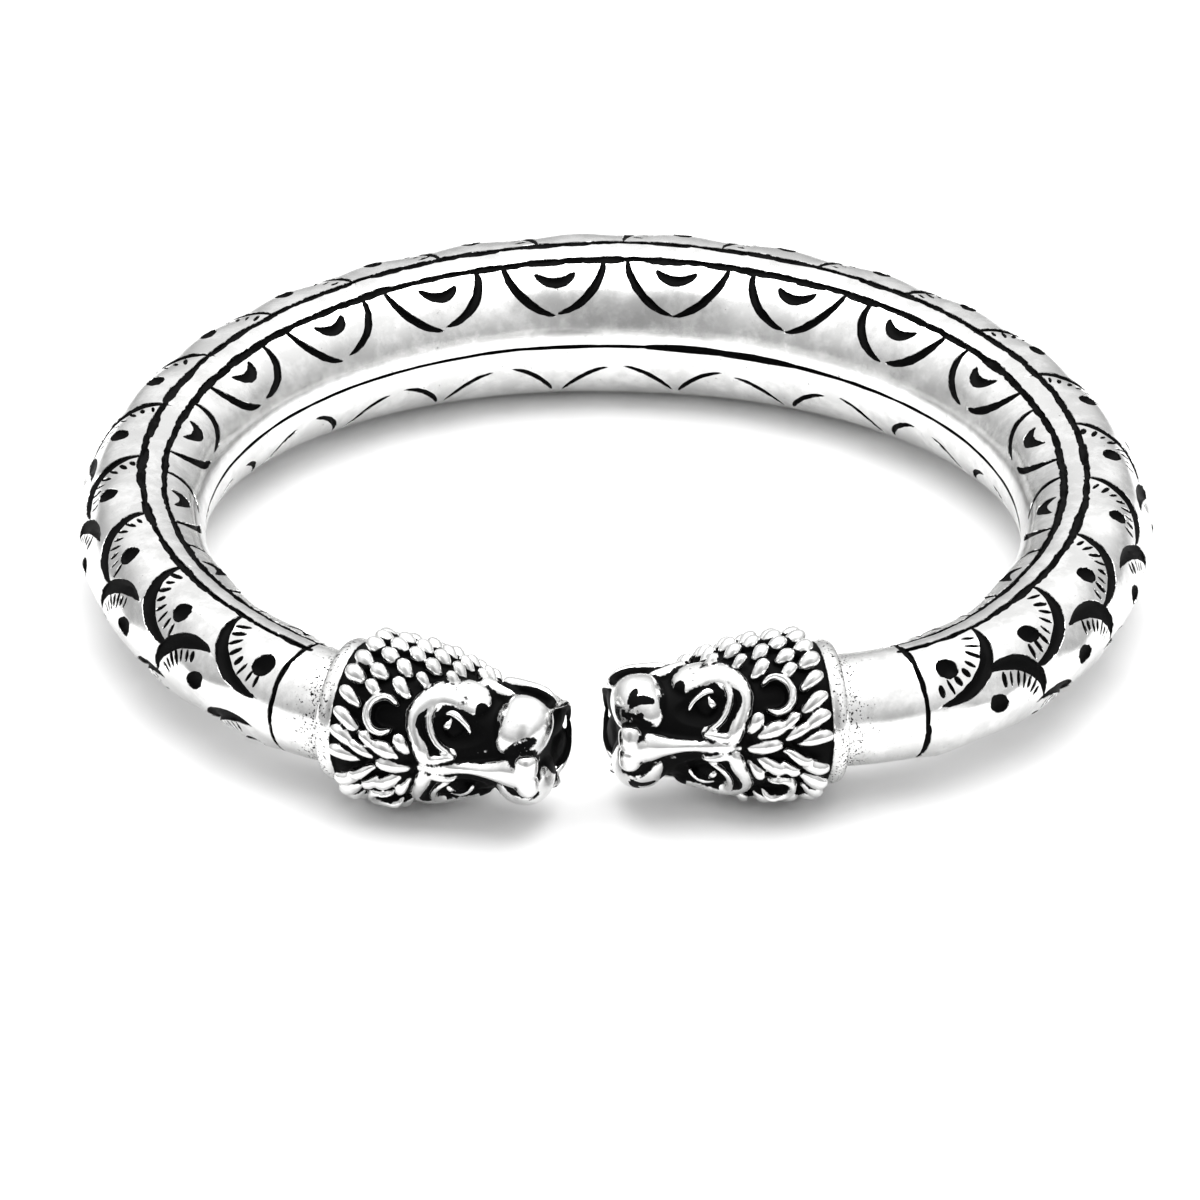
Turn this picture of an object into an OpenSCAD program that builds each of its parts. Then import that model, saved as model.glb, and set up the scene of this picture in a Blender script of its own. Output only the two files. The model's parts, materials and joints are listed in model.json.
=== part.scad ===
// Silver kada bangle: a hollow tapering tube bent into an open ring, with a cast lion head
// fitted over each end. It lies on its side. Z is up, X runs across the wrist opening and
// the gap between the two heads faces -Y. Millimetres.

/* [Ring] */
// Radius of the ring to the middle of the tube
ring_r = 37; // [33:0.5:42]
// Radius of the tube at the back of the ring
back_r = 7; // [5.5:0.1:8]
// Radius of the tube where it enters a head
end_r = 4; // [3.5:0.1:4.2]
// Wall of the rolled sheet
wall = 0.9; // [0.6:0.1:1.4]
// Distance from the middle of the gap to the rim of each head
rim_x = 17.2; // [16:0.1:20]

/* [Chased pattern] */
// Depth of the two chased lines on the top
line_depth = 0.3; // [0.1:0.05:0.4]
// Depth of the butt seam along the innermost line
seam_depth = 0.35; // [0.1:0.05:0.5]
// Length of one petal along the tube
petal_pitch = 12; // [10:0.5:14]
// Rise of the domed petals and scales
dome_rise = 0.25; // [0:0.05:0.4]
// Length of one scale along the tube
scale_pitch = 8.8; // [7:0.1:11]
// Length of the plain sleeve between the pattern and a head
sleeve_len = 4.4; // [3:0.1:7]

/* [Heads] */
// Radius of the rim ring at the neck of a head
rim_r = 5.15; // [4.9:0.05:5.6]
// Radius over the locks of the mane
mane_r = 6.25; // [5.9:0.05:6.8]
// Length of a head from the rim to the lips
head_len = 17; // [16:0.1:17.2]
// Depth of the blind socket that takes the end of the tube
socket_depth = 2; // [1:0.1:3]
// Clearance round the end of the tube
socket_gap = 0.12; // [0.05:0.01:0.3]

/* [Hidden] */

// How each end is bent, by hand and so not quite alike
START = 0;    // angle from the gap at which the bend begins
BEND = 1;     // radius of the bend
AIM = 2;      // final direction, measured from X, also the direction of the head
ROLL = 3;     // turn of the head about its own axis, upwards
left_end = [33, 9, 16, -4];
right_end = [49.5, 18, 13, 8];

// Middle of the box over the whole piece, which becomes the origin
box_mid_y = 1.68;
// The manes are thinner than the back of the tube, so the ring leans forward by this angle
mane_rest_r = mane_r - 0.1;
mane_from_back = 2 * ring_r - 3.5;
lean = atan((back_r - mane_rest_r) / mane_from_back);

// Path of the tube. s is the length along its middle from the back of the ring; negative is left.
function arc_len(e) = ring_r * (180 - e[START]) * PI / 180;
function bend_len(e) = e[BEND] * (e[START] - e[AIM]) * PI / 180;
function bend_x(e) = ring_r * sin(e[START]) - e[BEND] * (sin(e[START]) - sin(e[AIM]));
function bend_y(e) = -ring_r * cos(e[START]) - e[BEND] * (cos(e[AIM]) - cos(e[START]));
function straight_len(e) = (bend_x(e) - rim_x) / cos(e[AIM]);
function side_len(e) = arc_len(e) + bend_len(e) + straight_len(e);
function end_of(s) = s < 0 ? left_end : right_end;

// Direction of the path, as an angle from X that falls from 180 at the back to the final aim
function heading(e, d) =
    d < arc_len(e) ? 180 - d / ring_r * 180 / PI :
    d < arc_len(e) + bend_len(e) ? e[START] - (d - arc_len(e)) / e[BEND] * 180 / PI :
    e[AIM];

// Point of the path in the plane of the ring, for the side on which x is positive
function side_point(e, d) =
    let (a = heading(e, d), past = d - arc_len(e) - bend_len(e))
    d < arc_len(e) ? [ring_r * sin(a), -ring_r * cos(a)] :
    past < 0 ? [ring_r * sin(e[START]) - e[BEND] * (sin(e[START]) - sin(a)),
                -ring_r * cos(e[START]) - e[BEND] * (cos(a) - cos(e[START]))] :
    [bend_x(e) - past * cos(e[AIM]), bend_y(e) - past * sin(e[AIM])];

function mirrored(s) = s < 0 ? -1 : 1;
function path_point(s) =
    let (p = side_point(end_of(s), abs(s)))
    [mirrored(s) * p[0], p[1], 0];

// Unit vector from the middle of the ring outwards, square to the path
function outward(s) =
    let (a = heading(end_of(s), abs(s)))
    [mirrored(s) * sin(a), -cos(a), 0];

// Radius of the tube: full at the back, tapering to each end
function taper(u) = back_r + (end_r - back_r) * (0.5 * pow(sin(90 * u), 2) + 0.5 * u);
function tube_r(s) = taper(min(1, abs(s) / side_len(end_of(s))));

// Section of the tube. Angles run from the top towards the inside of the ring.
line_1 = 2.7;
line_2 = 23.3;
seam_at = 90;
groove_half = 3.7;
function beside(a) = [a - groove_half, a, a + groove_half];
section = concat([-12], beside(line_1), [13], beside(line_2), [36, 47, 58, 70, 80], beside(seam_at),
                 [103, 116, 130, 146, 163, 180, 197, 214, 230, 244, 258, 272, 286, 300, 314, 331]);
outer_n = len(section);
inner_n = outer_n / 4;

// The pattern ends at a border line, one sleeve away from each rim
function border(s) = side_len(end_of(s)) - sleeve_len;
function in_pattern(s) = abs(s) < border(s) ? 1 : 0;
function near(a, b) = abs(a - b) < 0.01 ? 1 : 0;

// Rise of a petal on the inner wall, and of a scale in one of the three outer rows
petal_phase = 4;
petal_row = 47;
petal_half = 23;
scale_rows = [[-28, 0], [-80, 0.5], [-125, 0]];
scale_half = 24;
function bump(t) = abs(t) < 1 ? pow(cos(90 * t), 2) : 0;
function within(s, pitch, phase) = let (t = (s - phase) / pitch) 2 * (t - round(t));
function petal_rise(s, a) = bump(within(s, petal_pitch, petal_phase)) * bump((a - petal_row) / petal_half);
function scale_rise(s, a, row) =
    bump(within(abs(s), scale_pitch, row[1] * scale_pitch)) * bump((a - row[0]) / scale_half);
function signed(a) = a > 180 ? a - 360 : a;
function rise(s, a) =
    in_pattern(s) * dome_rise *
    max(petal_rise(s, a), max([for (row = scale_rows) scale_rise(s, signed(a), row)]));
function groove(s, a) =
    in_pattern(s) * line_depth * max(near(a, line_1), near(a, line_2)) + seam_depth * near(a, seam_at);
function border_groove(s) = near(abs(s), border(s)) * line_depth;
function skin_r(s, a) = tube_r(s) + rise(s, a) - max(groove(s, a), border_groove(s));

function on_tube(s, a, r) = path_point(s) + r * (-sin(a) * outward(s) + cos(a) * [0, 0, 1]);

// Stations along the tube, closer together at the border lines
step = 3.8;
border_half = 0.35;
reach = socket_depth - 0.3;
function half_stations(side) =
    let (b = border(side), n = floor((b - border_half - step / 2) / step))
    concat([for (i = [1:n]) i * step], [b - border_half, b, b + border_half],
           [b + 0.5 * sleeve_len, b + 0.85 * sleeve_len, b + sleeve_len + reach]);
left_half = half_stations(-1);
right_half = half_stations(1);
stations = concat([for (i = [len(left_half) - 1:-1:0]) -left_half[i]], [0], right_half);

module chased_tube() {
    n = len(stations);
    outer = [for (s = stations, a = section) on_tube(s, a, skin_r(s, a))];
    inner = [for (s = stations, k = [0:inner_n - 1]) on_tube(s, k * 360 / inner_n, tube_r(s) - wall)];
    inner_0 = n * outer_n;
    function o(i, j) = i * outer_n + j % outer_n;
    function v(i, k) = inner_0 + i * inner_n + k % inner_n;
    outer_skin = [for (i = [0:n - 2], j = [0:outer_n - 1], t = [0, 1])
        t == 0 ? [o(i, j), o(i + 1, j + 1), o(i, j + 1)] : [o(i, j), o(i + 1, j), o(i + 1, j + 1)]];
    inner_skin = [for (i = [0:n - 2], k = [0:inner_n - 1], t = [0, 1])
        t == 0 ? [v(i, k), v(i, k + 1), v(i + 1, k + 1)] : [v(i, k), v(i + 1, k + 1), v(i + 1, k)]];
    // Each inner point of an end ring is joined to four outer edges
    first_rim = [for (k = [0:inner_n - 1], q = [0:4])
        q < 4 ? [v(0, k), o(0, 4 * k + q), o(0, 4 * k + q + 1)] : [v(0, k), o(0, 4 * k + 4), v(0, k + 1)]];
    last_rim = [for (k = [0:inner_n - 1], q = [0:4])
        q < 4 ? [v(n - 1, k), o(n - 1, 4 * k + q + 1), o(n - 1, 4 * k + q)]
              : [v(n - 1, k), v(n - 1, k + 1), o(n - 1, 4 * k + 4)]];
    color("silver")
    at_rest() polyhedron(concat(outer, inner), concat(outer_skin, inner_skin, first_rim, last_rim));
}

// The whole bangle leans forward until both manes touch the surface
module at_rest() {
    translate([0, ring_r - box_mid_y, back_r]) rotate([lean, 0, 0]) translate([0, -ring_r, 0]) children();
}

// Head, built along X from the middle of its rim. Z is the crown, Y the upper cheek.
// A place on it is [distance along X, angle from the crown line, distance from the axis].
function round_axis(x, a, r) = [x, r * sin(a), r * cos(a)];

module bead(x, a, r, size, sides) {
    translate(round_axis(x, a, r)) rotate([-a, 0, 0]) sphere(r = size, $fn = sides);
}

// A raised rib through a row of beads, each [along, angle, from the axis, radius]
module rib(beads) {
    for (i = [0:len(beads) - 2]) {
        hull() {
            bead(beads[i][0], beads[i][1], beads[i][2], beads[i][3], 5);
            bead(beads[i + 1][0], beads[i + 1][1], beads[i + 1][2], beads[i + 1][3], 5);
        }
    }
}

module both_sides() {
    children();
    mirror([0, 1, 0]) children();
}

// Outline of the casting under its relief, turned about X, from the rim to the lips
core_outline = [[-0.5, rim_r], [0.55, rim_r], [0.75, 4.8], [2.5, 5.2], [4.5, 5.45], [7, 5.1],
                [9.5, 4.45], [11.5, 3.5], [13.5, 3.3], [15.2, 3.1]];

module core() {
    rotate([0, 90, 0]) rotate_extrude($fn = 20)
        polygon(concat([[0, -0.5]], [for (p = core_outline) [p[1], p[0]]], [[0, core_outline[len(core_outline) - 1][0]]]));
}

// Locks of the mane. Each row is [tip along X, first angle, last angle, number, length, half width].
mane_rows = [
    [1.5, 8, 56, 4, 2.4, 0.70],
    [3.7, 0, 16, 2, 2.2, 0.62],
    [1.5, 76, 148, 4, 1.6, 0.80],
    [3.3, 66, 150, 5, 1.6, 0.78],
    [5.1, 76, 148, 4, 1.6, 0.75],
    [6.8, 84, 150, 4, 1.5, 0.72],
    [8.4, 98, 146, 3, 1.4, 0.66],
    [9.8, 112, 148, 2, 1.3, 0.58]
];

// The thin root of a lock is sunk in the casting. On the crown the roots draw in to the middle line.
root_sunk = 0.9;
root_t = 0.4;
root_h = 0.6;
crown_span = 60;

// Radius over the mane, which shrinks towards the face
function mane_top(x) = mane_r - 0.035 * pow(max(0, x - 4), 2);

module mane_lock(x, a, length, half_w) {
    root_a = a * (a < crown_span ? 0.75 : 0.97);
    hull() {
        bead(x, a, mane_top(x) - half_w, half_w, 5);
        stand_on([x + length, root_a, mane_top(x + length) - root_sunk])
            cube([root_t, half_w, root_h], center = true);
    }
}

module mane() {
    both_sides() {
        for (row = mane_rows) {
            for (i = [0:row[3] - 1]) {
                a = row[1] + (row[2] - row[1]) * i / (row[3] - 1);
                mane_lock(row[0], a, row[4], row[5]);
            }
        }
    }
}

brow = [[10.4, 84, 3.9, 0.7], [9.2, 78, 4.35, 0.85], [7.9, 66, 4.75, 0.85], [7.1, 50, 4.9, 0.75],
        [7, 34, 4.95, 0.65], [7.7, 19, 4.9, 0.6], [9, 8, 4.55, 0.5]];
eyelid = [[8.7, 60, 4.35, 0.25], [8, 46, 4.55, 0.28], [8.2, 30, 4.5, 0.28], [9.4, 20, 4.15, 0.25]];
nose_bridge = [[7.4, 0, 4.9, 0.8], [9.4, 0, 4.55, 0.4], [11.4, 0, 4.1, 0.4], [13.2, 0, 3.7, 0.7],
               [14.8, 0, 3.6, 0.8]];
// Places on the face, each [along X, angle from the crown line, distance from the axis]
eye_place = [9.1, 40, 3.75];
eye_r = 0.8;
hollow_back = [9.2, 42, 5.2];
hollow_front = [11.5, 38, 4.5];
hollow_r = 1.2;
ear_place = [5, 38, 5];
ear_r = 1.05;
ear_h = 1.05;
pad_back = [13.5, 68, 2.55];
pad_front = [14.4, 46, 2.65];
pad_r = 1.65;
// Places on the face as [x, y, z]
nose_tip = [15.1, 0, 3.6];
nose_r = 0.75;
nose_half_w = 1;
mouth_middle = [16.6, 0, -0.6];
mouth_r = 2.5;
fang_root = [15.8, 2.5, 1.4];
fang_len = 1.3;
fang_splay = 15;

// The lips run from beside the nose round to the chin. They were set out for this length of head.
lips_x = 17;
lips = [[15.4, 24, 3.3, 0.5], [16.2, 46, 3.3, 0.55], [16.45, 72, 3.4, 0.55], [15.9, 100, 3.4, 0.6],
        [15.2, 132, 3.3, 0.65], [14.9, 180, 3.1, 0.8]];

module face() {
    rib(nose_bridge);
    both_sides() {
        rib(brow);
        rib(eyelid);
        rib(shifted(lips));
        eye();
        ear();
        whisker_pad();
        nostril_side();
        fang();
    }
}

// The lips follow the length of the head
function shifted(beads) = [for (b = beads) [b[0] + head_len - lips_x, b[1], b[2], b[3]]];

// Faces outwards at a place of the head
module stand_on(place) {
    translate(round_axis(place[0], place[1], place[2])) rotate([-place[1], 0, 0]) children();
}

module eye() {
    stand_on(eye_place) sphere(r = eye_r, $fn = 6);
}

module ear() {
    stand_on(ear_place) cylinder(r1 = ear_r + 0.1, r2 = ear_r - 0.1, h = ear_h, $fn = 10);
}

module ear_hole() {
    stand_on(ear_place + [0, 0, ear_h / 2]) cylinder(r = ear_r / 2, h = 2 * ear_h, $fn = 8);
}

module whisker_pad() {
    hull() {
        stand_on(pad_back) sphere(r = pad_r, $fn = 8);
        stand_on(pad_front) sphere(r = pad_r - 0.2, $fn = 8);
    }
}

// One half of the broad end of the nose
module nostril_side() {
    hull() {
        translate(nose_tip) sphere(r = nose_r, $fn = 6);
        translate(nose_tip + [-0.1, nose_half_w, -0.2]) sphere(r = nose_r - 0.15, $fn = 6);
    }
}

module fang() {
    translate(fang_root) rotate([180 - fang_splay, 0, 0]) cylinder(r1 = 0.4, r2 = 0.1, h = fang_len, $fn = 5);
}

module eye_hollow() {
    hull() {
        stand_on(hollow_back) sphere(r = hollow_r, $fn = 8);
        stand_on(hollow_front) sphere(r = hollow_r - 0.3, $fn = 6);
    }
}

// Open mouth, between the lips
module mouth() {
    translate(mouth_middle) sphere(r = mouth_r, $fn = 10);
}

module lion_head() {
    color("gainsboro")
    difference() {
        union() {
            difference() {
                core();
                both_sides() eye_hollow();
                mouth();
            }
            mane();
            face();
        }
        both_sides() ear_hole();
        // Socket over the end of the tube
        translate([-1, 0, 0]) rotate([0, 90, 0])
            cylinder(r = end_r + socket_gap, h = socket_depth + 1, $fn = 24);
    }
}

// Puts a head on an end of the tube, on the side where x is negative
module on_end(e) {
    p = side_point(e, side_len(e));
    translate([-p[0], p[1], 0]) rotate([0, 0, -e[AIM]]) rotate([90 - e[ROLL], 0, 0]) children();
}

module left_lion_head() {
    at_rest() on_end(left_end) lion_head();
}

module right_lion_head() {
    at_rest() mirror([1, 0, 0]) on_end(right_end) lion_head();
}

chased_tube();
left_lion_head();
right_lion_head();
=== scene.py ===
# %% [markdown]
# # A silver kada bangle with two lion heads
#
# The real bangle is a hollow tube of silver sheet, thick at the back and thin at the ends. It was
# chased with petals and scales while straight, bent into an open ring and blackened, then
# burnished so that the black stays only in the marks. A cast lion head is fitted over each end.
# We follow the same order: the tube is made straight, the marks are struck, and it is bent last.

import json
import math
import random

import bpy
import numpy as np
from mathutils import Matrix, Vector

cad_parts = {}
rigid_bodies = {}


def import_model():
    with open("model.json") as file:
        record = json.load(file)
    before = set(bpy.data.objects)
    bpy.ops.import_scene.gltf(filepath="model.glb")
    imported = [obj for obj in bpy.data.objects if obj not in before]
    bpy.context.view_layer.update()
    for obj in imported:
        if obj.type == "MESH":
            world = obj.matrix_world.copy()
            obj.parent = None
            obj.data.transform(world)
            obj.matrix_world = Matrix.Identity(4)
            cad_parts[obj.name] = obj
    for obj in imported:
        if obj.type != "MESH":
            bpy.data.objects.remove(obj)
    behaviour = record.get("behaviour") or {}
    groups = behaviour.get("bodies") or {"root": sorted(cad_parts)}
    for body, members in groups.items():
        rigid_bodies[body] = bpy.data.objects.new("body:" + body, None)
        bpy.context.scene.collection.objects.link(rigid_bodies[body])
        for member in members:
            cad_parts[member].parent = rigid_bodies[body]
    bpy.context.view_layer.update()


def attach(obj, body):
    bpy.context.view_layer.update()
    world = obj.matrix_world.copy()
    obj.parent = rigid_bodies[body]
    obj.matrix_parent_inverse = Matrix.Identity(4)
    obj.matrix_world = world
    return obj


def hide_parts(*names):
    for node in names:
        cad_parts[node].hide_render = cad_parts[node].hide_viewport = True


for thing in list(bpy.data.objects):
    bpy.data.objects.remove(thing)
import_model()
MM = 0.001

# %% [markdown]
# ## Sizes
# These are the numbers of the CAD source, so each piece lands where its solid is. The sleeves and
# the places of the scales alone follow the photograph more closely. The path of the tube is an arc
# of the ring, a tighter hand bend, and a short straight run into the head. Lengths are in mm until
# a piece is finished, and s is a length along the tube from the back of the ring.

# %% Sizes of the ring
ring_r = 37
back_r = 7
end_r = 4
wall = 0.9
rim_x = 17.2
petal_pitch = 12
petal_phase = 4
scale_pitch = 8.8
mane_r = 6.25
rim_r = 5.15
socket_depth = 2
socket_gap = 0.12
box_mid_y = 1.68
mane_low = mane_r - 0.1
between_feet = 2 * ring_r - 3.5
lean = math.atan((back_r - mane_low) / between_feet)

# start and aim in degrees, bend is a radius, roll turns the head about its own axis
left_end = {"side": -1, "start": 33, "bend": 9, "aim": 16, "roll": -4, "sleeve": 3.1}
right_end = {"side": 1, "start": 49.5, "bend": 18, "aim": 13, "roll": 8, "sleeve": 5.3}

# %% The path of the tube
for end in (left_end, right_end):
    start, aim = math.radians(end["start"]), math.radians(end["aim"])
    end["arc"] = ring_r * (math.pi - start)
    end["turn"] = end["bend"] * (start - aim)
    end["bend_x"] = ring_r * math.sin(start) - end["bend"] * (math.sin(start) - math.sin(aim))
    end["bend_y"] = -ring_r * math.cos(start) - end["bend"] * (math.cos(aim) - math.cos(start))
    end["length"] = end["arc"] + end["turn"] + (end["bend_x"] - rim_x) / math.cos(aim)
    print("side length in mm:", end["side"], round(end["length"], 2))


def path_at(s):
    """Point, outward direction and curvature of the path at lengths s from the back."""
    s = np.asarray(s, float)
    place = np.zeros((len(s), 2))
    outward = np.zeros((len(s), 2))
    curve = np.zeros(len(s))
    for end in (left_end, right_end):
        here = (s < 0) if end["side"] < 0 else (s >= 0)
        d = np.abs(s[here])
        start, aim, bend = math.radians(end["start"]), math.radians(end["aim"]), end["bend"]
        on_bend = (d >= end["arc"]) & (d < end["arc"] + end["turn"])
        straight = d >= end["arc"] + end["turn"]
        a = math.pi - d / ring_r
        a = np.where(on_bend, start - (d - end["arc"]) / bend, a)
        a = np.where(straight, aim, a)
        past = d - end["arc"] - end["turn"]
        x = ring_r * np.sin(a)
        y = -ring_r * np.cos(a)
        x = np.where(on_bend, ring_r * math.sin(start) - bend * (math.sin(start) - np.sin(a)), x)
        y = np.where(on_bend, -ring_r * math.cos(start) - bend * (np.cos(a) - math.cos(start)), y)
        x = np.where(straight, end["bend_x"] - past * math.cos(aim), x)
        y = np.where(straight, end["bend_y"] - past * math.sin(aim), y)
        place[here] = np.stack([end["side"] * x, y], 1)
        outward[here] = np.stack([end["side"] * np.sin(a), -np.cos(a)], 1)
        curve[here] = np.where(straight, 0, np.where(on_bend, 1 / bend, 1 / ring_r))
    return place, outward, curve


def tube_radius(s):
    """Radius without the domes at lengths s: half of the taper is even, and half follows a wave."""
    length = np.where(np.asarray(s) < 0, left_end["length"], right_end["length"])
    u = np.minimum(1, np.abs(s) / length)
    return back_r + (end_r - back_r) * (0.5 * np.sin(math.pi / 2 * u) ** 2 + 0.5 * u)


def radius_at(s):
    return float(tube_radius(np.array([s]))[0])


# %% [markdown]
# ## Camera
# The camera comes first. It looks down at the ring from the front, from about 26 cm, as the
# ring's outline in the photograph tells.

# %% Where the ring lies, and the camera
at_rest = (Matrix.Translation((0, ring_r - box_mid_y, back_r)) @ Matrix.Rotation(lean, 4, "X")
           @ Matrix.Translation((0, -ring_r, 0)))
to_metres = Matrix.Scale(MM, 4)

# Fitted to the outlines in the photograph: tip is in radians, and the focal length in its pixels
elevation = math.radians(27.55)
azimuth = math.radians(3.1)
tip = 0.0064
eye_distance = 259
focal_length = 3271.6
photo_width = 1200
sensor_width = 36
target = Vector((-0.146, -15.343, 0))
eye_at = eye_distance * Vector((math.sin(azimuth) * math.cos(elevation),
                                -math.cos(azimuth) * math.cos(elevation), math.sin(elevation)))
look = (target - eye_at).normalized()
across = look.cross(Vector((0, 0, 1))).normalized()
up = across.cross(look)
across_tipped = across * math.cos(tip) + up * math.sin(tip)
up_tipped = up * math.cos(tip) - across * math.sin(tip)
camera_turn = Matrix((across_tipped, up_tipped, -look)).transposed().to_4x4()
camera_data = bpy.data.cameras.new("camera")
camera_data.sensor_width = sensor_width
camera_data.lens = focal_length / photo_width * sensor_width
camera_data.clip_start = 0.01
camera = bpy.data.objects.new("camera", camera_data)
bpy.context.scene.collection.objects.link(camera)
camera.matrix_world = Matrix.Translation((at_rest @ eye_at) * MM) @ (
    at_rest.to_3x3() @ camera_turn.to_3x3()).to_4x4()
bpy.context.scene.camera = camera
print("camera at", [round(v, 4) for v in camera.matrix_world.translation])

# %% [markdown]
# ## Small tools
# A few helpers keep the later cells short: clearing the selection, applying a modifier, reading
# and writing the points of a mesh, joining copies, and turning faces outward. The signed volume
# tells if they do point outward, which a render doesn't show.


# %% Helpers for meshes
def select_only(*things):
    bpy.ops.object.select_all(action="DESELECT")
    for thing in things:
        thing.select_set(True)
    bpy.context.view_layer.objects.active = things[0]


def points_of(thing, what="co"):
    flat = np.zeros(len(thing.data.vertices) * 3, np.float32)
    thing.data.vertices.foreach_get(what, flat)
    return flat.reshape(-1, 3).astype(float)


def set_points(thing, points):
    thing.data.vertices.foreach_set("co", np.asarray(points, np.float32).ravel())
    thing.data.update()


def named(name):
    """Names the object that an operator has just made, and puts its place in its mesh."""
    thing = bpy.context.object
    thing.name = thing.data.name = name
    bpy.ops.object.transform_apply(location=True, rotation=True, scale=True)
    return thing


def join(name, things):
    select_only(*things)
    if len(things) > 1:
        bpy.ops.object.join()
    return named(name)


def modify(thing, kind, **settings):
    select_only(thing)
    modifier = thing.modifiers.new(kind.lower(), kind)
    for key, value in settings.items():
        setattr(modifier, key, value)
    bpy.ops.object.modifier_apply(modifier=modifier.name)


def cut(thing, cutter):
    """Takes the cutter's volume out of the thing, and deletes the cutter."""
    modify(thing, "BOOLEAN", operation="DIFFERENCE", solver="MANIFOLD", object=cutter)
    bpy.data.objects.remove(cutter)


def copy_of(thing):
    twin = thing.copy()
    twin.data = thing.data.copy()
    bpy.context.scene.collection.objects.link(twin)
    return twin


def faces_outward(thing):
    select_only(thing)
    bpy.ops.object.mode_set(mode="EDIT")
    bpy.ops.mesh.select_all(action="SELECT")
    bpy.ops.mesh.normals_make_consistent(inside=False)
    bpy.ops.object.mode_set(mode="OBJECT")


def cleaned(thing):
    """Merges doubled points, drops faces without area, and keeps the body that reaches farthest out."""
    near = 0.002
    select_only(thing)
    bpy.ops.object.mode_set(mode="EDIT")
    bpy.ops.mesh.select_mode(type="VERT")
    bpy.ops.mesh.select_all(action="SELECT")
    bpy.ops.mesh.remove_doubles(threshold=near)
    bpy.ops.mesh.dissolve_degenerate(threshold=near)
    bpy.ops.mesh.select_all(action="DESELECT")
    bpy.ops.object.mode_set(mode="OBJECT")
    points = points_of(thing)
    farthest = int(np.argmax(np.hypot(points[:, 1], points[:, 2])))
    thing.data.vertices[farthest].select = True
    bpy.ops.object.mode_set(mode="EDIT")
    bpy.ops.mesh.select_linked()
    bpy.ops.mesh.select_all(action="INVERT")
    bpy.ops.mesh.delete(type="VERT")
    bpy.ops.object.mode_set(mode="OBJECT")
    print(thing.name, "points before and after cleaning:", len(points), len(thing.data.vertices))


def signed_volume(thing):
    """Volume in the mesh's own units, negative when its faces point inwards."""
    corners = np.zeros(len(thing.data.loop_triangles) * 3, np.int32)
    thing.data.loop_triangles.foreach_get("vertices", corners)
    a, b, c = points_of(thing)[corners].reshape(-1, 3, 3).transpose(1, 0, 2)
    return float((a * np.cross(b, c)).sum() / 6)


# %% [markdown]
# ## The straight tube
# The real tube was rolled from sheet. Here a circle is drawn out along X by a Screw modifier, in
# even steps whose X is the length s from the back of the ring. Its points are then moved out to the
# taper and to the domes that the smith pushed up: a petal every 12 mm on the inner wall, and three
# rows of scales outside. A straight tube is used because marks are easily placed on it.

# %% The relief of the tube
# Angles are in degrees from the top of the tube towards the inside of the ring
line_angles = (2.7, 23.3)
seam_angle = 90
petal_row, petal_half = 47, 23
# [angle, distance of a pit from the left rim, the same from the right rim]
scale_rows = ((-28, 13.5, 23.1), (-84, 18.6, 18.9), (-140, 14.3, 14.6))
scale_half = 24
dome_rise = 0.25
dome_width = 0.98
dome_fade = 1.5


def hump(t):
    return np.where(np.abs(t) < 1, np.cos(math.pi / 2 * np.clip(t, -1, 1)) ** 2, 0)


def in_pitch(s, pitch, phase):
    t = (s - phase) / pitch
    return 2 * (t - np.round(t))


def from_rim(s):
    return np.where(np.asarray(s) < 0, left_end["length"], right_end["length"]) - np.abs(s)


def border_at(s):
    return np.where(np.asarray(s) < 0, left_end["length"] - left_end["sleeve"],
                    right_end["length"] - right_end["sleeve"])


def skin_radius(s, a):
    """Radius of the uncut skin at length s and angle a, degrees from the top towards the inside."""
    a = (np.asarray(a) + 180) % 360 - 180
    petal = hump(in_pitch(s, petal_pitch, petal_phase) * dome_width) * hump((a - petal_row) / petal_half)
    scale = np.zeros_like(a * s)
    for row_angle, left_first, right_first in scale_rows:
        first = np.where(np.asarray(s) < 0, left_first, right_first)
        bulge = hump(in_pitch(from_rim(s), scale_pitch, first) * dome_width)
        scale = np.maximum(scale, bulge * hump((a - row_angle) / scale_half))
    fade = np.clip((border_at(s) - np.abs(s)) / dome_fade, 0, 1)
    return tube_radius(s) + fade * dome_rise * np.maximum(petal, scale)


# %% Model the straight tube
sides, station_count = 80, 236
inner_sides, inner_stations = 24, 60
reach = socket_depth - 0.3
low_s, high_s = -left_end["length"] - reach, right_end["length"] + reach


def open_cylinder(name, around, stations):
    """A circle drawn out along X by a Screw modifier, from one end of the tube to the other."""
    bpy.ops.object.select_all(action="DESELECT")
    bpy.ops.mesh.primitive_circle_add(vertices=around, radius=1, rotation=(0, math.pi / 2, 0),
                                      location=(low_s, 0, 0))
    thing = named(name)
    modify(thing, "SCREW", axis="X", angle=0, screw_offset=high_s - low_s, steps=stations,
           render_steps=stations, use_smooth_shade=False)
    return thing


def polar(points):
    """Length, angle in degrees and radius of points of the straight tube."""
    angle = np.degrees(np.arctan2(points[:, 1], points[:, 2]))
    return points[:, 0], angle, np.hypot(points[:, 1], points[:, 2])


def from_polar(s, angle, radius):
    a = np.radians(angle)
    return np.stack([s, radius * np.sin(a), radius * np.cos(a)], 1)


tube = open_cylinder("chased_tube_silver", sides, station_count)
s, angle, radius = polar(points_of(tube))
print("stations from", s.min(), "to", s.max(), "points", len(s))
set_points(tube, from_polar(s, angle, skin_radius(s, angle)))
inner = open_cylinder("inner_wall", inner_sides, inner_stations)
s, angle, radius = polar(points_of(inner))
set_points(inner, from_polar(s, angle, tube_radius(s) - wall))
tube = join("chased_tube_silver", [tube, inner])

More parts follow.
